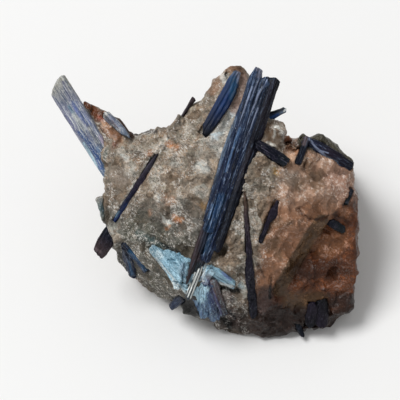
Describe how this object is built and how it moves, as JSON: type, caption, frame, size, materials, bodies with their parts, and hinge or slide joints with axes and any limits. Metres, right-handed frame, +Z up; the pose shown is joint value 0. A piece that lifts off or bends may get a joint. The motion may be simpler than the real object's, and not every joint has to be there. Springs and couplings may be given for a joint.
{
  "type": "kyanite blade cluster",
  "caption": "Dark blue kyanite blades grown across a lump of granular, rust-stained quartz, with a pale blade that stands free of it, resting on a flat sawn base.",
  "frame": {"origin": "middle of the bounding box, at the flat sawn base that the specimen rests on", "axes": "+Z up from the base, +X to the right of the picture, -Y towards the viewer; the show face leans back and the picture looks at it from about 60 degrees above the horizon"},
  "size_m": [0.1228, 0.0922, 0.0799],
  "materials": {
    "quartz": "granular, rust stained",
    "pale_kyanite": "pearly, striated",
    "blue_kyanite": "vitreous, striated",
    "dark_kyanite": "vitreous, striated",
    "sky_kyanite": "pearly, striated"
  },
  "bodies": {
    "root": {"quartz_matrix": "quartz", "left_pale_blade": "pale_kyanite", "spur_blade": "pale_kyanite", "left_edge_blade": "pale_kyanite", "upper_blade": "blue_kyanite", "main_bundle": "blue_kyanite", "small_tip_blade": "blue_kyanite", "right_top_blades": "blue_kyanite", "lower_left_blades": "blue_kyanite", "bottom_stub_blade": "blue_kyanite", "back_left_blade": "blue_kyanite", "back_middle_blade": "blue_kyanite", "slanting_blade": "dark_kyanite", "cross_blade": "dark_kyanite", "right_middle_blade": "dark_kyanite", "long_narrow_blade": "dark_kyanite", "right_black_blade": "dark_kyanite", "right_edge_blade": "dark_kyanite", "bottom_tip_blade": "dark_kyanite", "bottom_right_bundle": "dark_kyanite", "back_right_blade": "dark_kyanite", "pale_plate": "sky_kyanite", "foot_fan": "sky_kyanite"}
  },
  "joints": []
}
